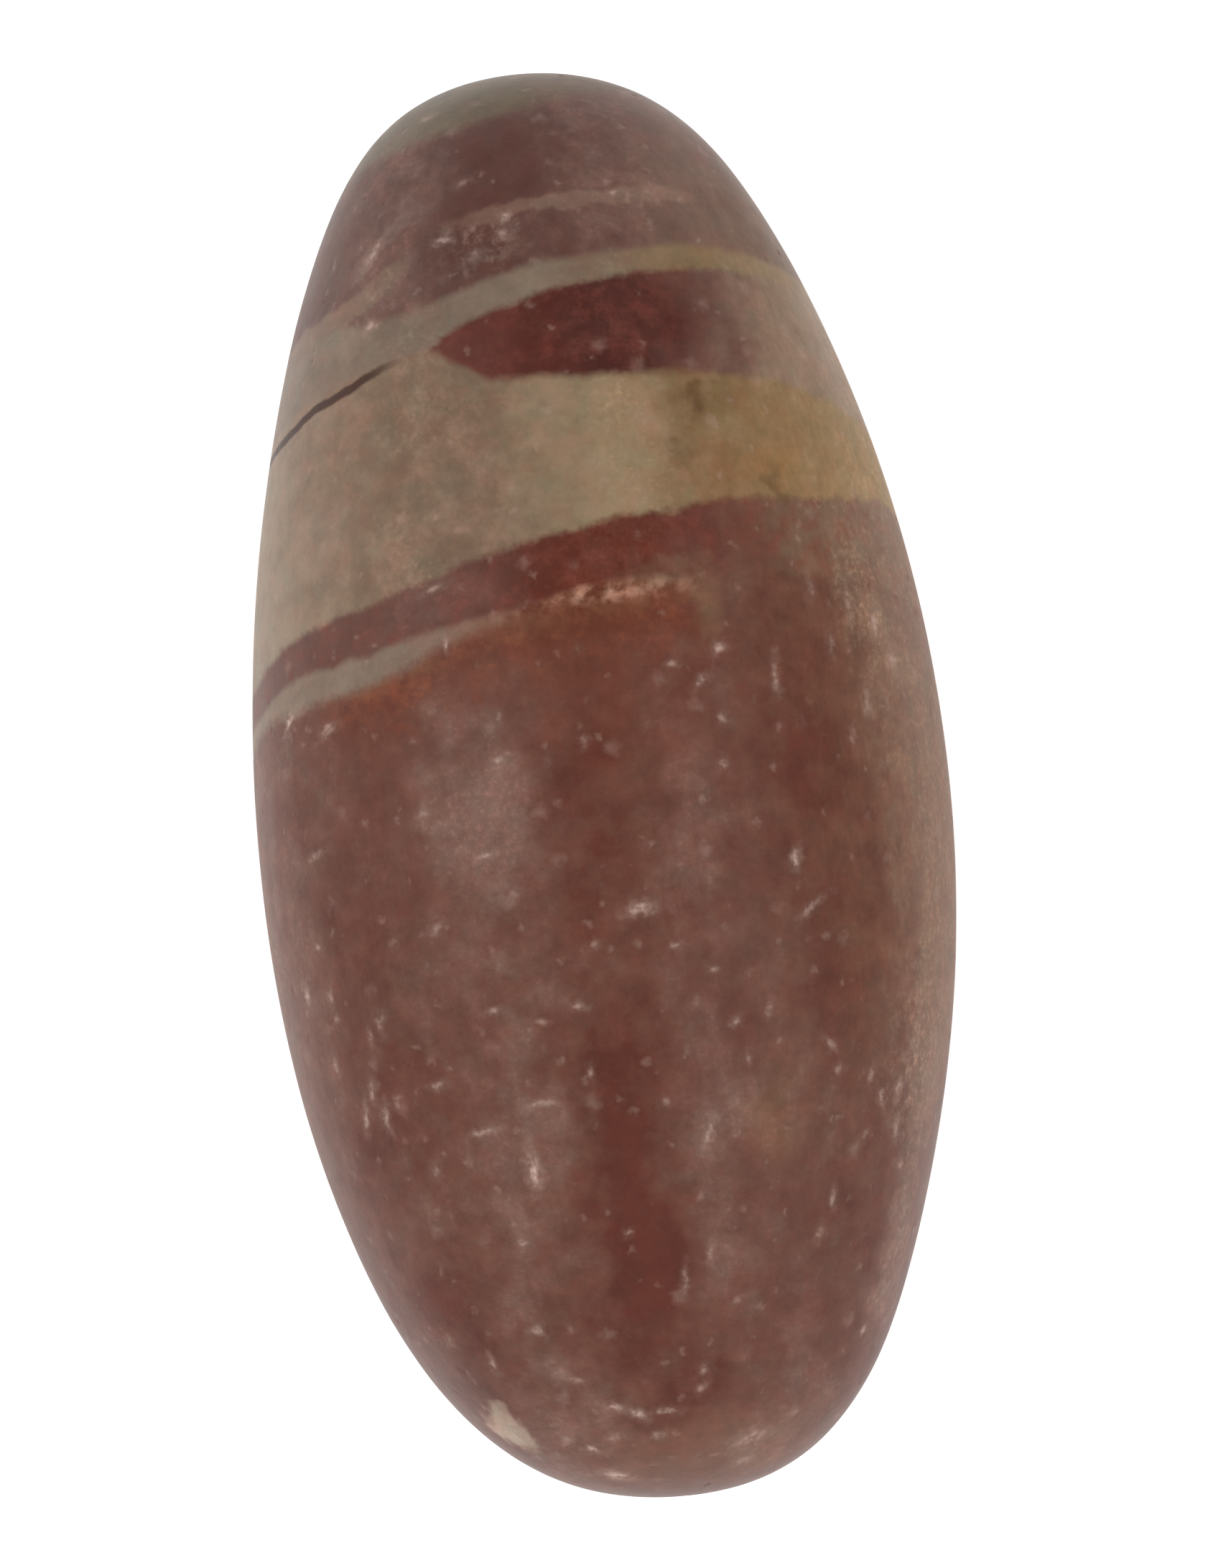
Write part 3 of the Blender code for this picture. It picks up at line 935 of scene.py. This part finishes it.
# %% [markdown]
# ## The gloss
#
# The stone is oiled and rubbed, not lacquered, so it has a low wide sheen and no sharp mirror. Frosted
# streaks and bruises are rougher than polished ones. The grain stands about a hundredth of a millimetre
# proud, too little for the mesh, so it is the one thing left to a Bump node.

# %% Set the roughness, the sheen and the fine relief
roughness = jasper.total(
    0.42, jasper.product(frost_and_sheen, 0.10), jasper.product(crushed_and_glinting, 0.3), jasper.swing(speckle, 0.15)
)
jasper.feed(jasper.surface.inputs["Roughness"], roughness)
jasper.surface.inputs["Specular IOR Level"].default_value = 0.15
jasper.surface.inputs["Sheen Weight"].default_value = 0.04
jasper.surface.inputs["Sheen Roughness"].default_value = 0.45
relief = jasper.total(
    jasper.product(jasper.grain(place, 0.30, 1.0, 0.6), 0.5), jasper.grain(place, 0.95, 2.0, 0.6)
)
bump = jasper.node("ShaderNodeBump", {"Strength": 0.6, "Distance": 0.00004, "Height": relief})
jasper.feed(jasper.surface.inputs["Normal"], bump)
stone.data.materials.clear()
stone.data.materials.append(jasper.material)
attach(stone, "root")
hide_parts("lingam_stone")
print("shader nodes in the finish:", len(jasper.tree.nodes))

# %% [markdown]
# ## The floor
#
# The stone lies on a plain pale sheet. It glows faintly by itself, as a sheet lit from below does, so the
# picture keeps its clean pale ground and only a trace of shadow is left where the stone touches it.

# %% Lay the floor
HALF_FLOOR = 6.0
GAP_UNDER_THE_STONE = 0.02 * MM

floor_shape = bmesh.new()
bmesh.ops.create_grid(floor_shape, x_segments=8, y_segments=8, size=HALF_FLOOR)
bmesh.ops.translate(floor_shape, verts=floor_shape.verts, vec=(0, 0, -GAP_UNDER_THE_STONE))
floor_mesh = bpy.data.meshes.new("pale_floor")
floor_shape.to_mesh(floor_mesh)
floor_shape.free()
floor = bpy.data.objects.new("pale_floor", floor_mesh)
bpy.context.scene.collection.objects.link(floor)
floor_finish = bpy.data.materials.new("pale_floor_finish")
floor_finish.use_nodes = True
floor_surface = floor_finish.node_tree.nodes["Principled BSDF"]
floor_surface.inputs["Base Color"].default_value = (0.55, 0.55, 0.55, 1.0)
floor_surface.inputs["Roughness"].default_value = 0.9
floor_surface.inputs["Specular IOR Level"].default_value = 0.0
floor_surface.inputs["Emission Color"].default_value = (1.0, 1.0, 1.0, 1.0)
floor_surface.inputs["Emission Strength"].default_value = 0.68
floor_mesh.materials.append(floor_finish)
print("floor across in m:", round(floor.dimensions.x))

# %% [markdown]
# ## The light
#
# A light tent surrounds the stone. The world stands for it: as pale as the sheet at the horizon, dimmer a
# little above it so that the flanks keep their colour, brightest higher up, dim straight above where the
# camera looks in, and a little weaker behind the slim end. Two large weak softboxes round the form.

# %% Light the tent and the softboxes
# Height, strength, and how warm the light is there
SKY = ((0.0, 1.16, 0.0), (0.20, 0.95, 0.01), (0.42, 0.72, 0.03), (0.70, 1.30, 0.03), (0.97, 0.40, 0.03))
world = bpy.data.worlds.new("pale_studio")
world.use_nodes = True
sky = world.node_tree
direction = sky.nodes.new("ShaderNodeTexCoord")
height_of = sky.nodes.new("ShaderNodeSeparateXYZ")
sky.links.new(direction.outputs["Generated"], height_of.inputs[0])
glow = sky.nodes.new("ShaderNodeValToRGB")
glow.color_ramp.interpolation = "EASE"
while len(glow.color_ramp.elements) < len(SKY):
    glow.color_ramp.elements.new(0.5)
for element, (level, strength, warm) in zip(glow.color_ramp.elements, SKY):
    element.position = level
    element.color = (strength, strength * (1 - warm), strength * (1 - 2 * warm), 1.0)
sky.links.new(height_of.outputs[2], glow.inputs[0])
weaker_behind = sky.nodes.new("ShaderNodeMapRange")
for name, value in (("From Min", -0.7), ("From Max", 0.8), ("To Min", 1.08), ("To Max", 0.88)):
    weaker_behind.inputs[name].default_value = value
sky.links.new(height_of.outputs[1], weaker_behind.inputs["Value"])
background = sky.nodes["Background"]
sky.links.new(glow.outputs[0], background.inputs["Color"])
sky.links.new(weaker_behind.outputs[0], background.inputs["Strength"])
bpy.context.scene.world = world
bpy.context.scene.view_settings.view_transform = "Standard"


AIM = (0.0, 0.0, 0.02)


def softbox(name, place, side, power):
    """A soft square light that faces the stone."""
    data = bpy.data.lights.new(name, "AREA")
    data.shape = "SQUARE"
    data.size = side
    data.energy = power
    lamp = bpy.data.objects.new(name, data)
    lamp.location = place
    lamp.rotation_euler = (Vector(AIM) - Vector(place)).to_track_quat("-Z", "Y").to_euler()
    lamp.visible_camera = False
    bpy.context.scene.collection.objects.link(lamp)


softbox("softbox_left", (-0.45, 0.20, 0.55), 0.5, 1.1)
softbox("softbox_right", (0.5, -0.30, 0.50), 0.5, 0.9)
print("softboxes: 2")
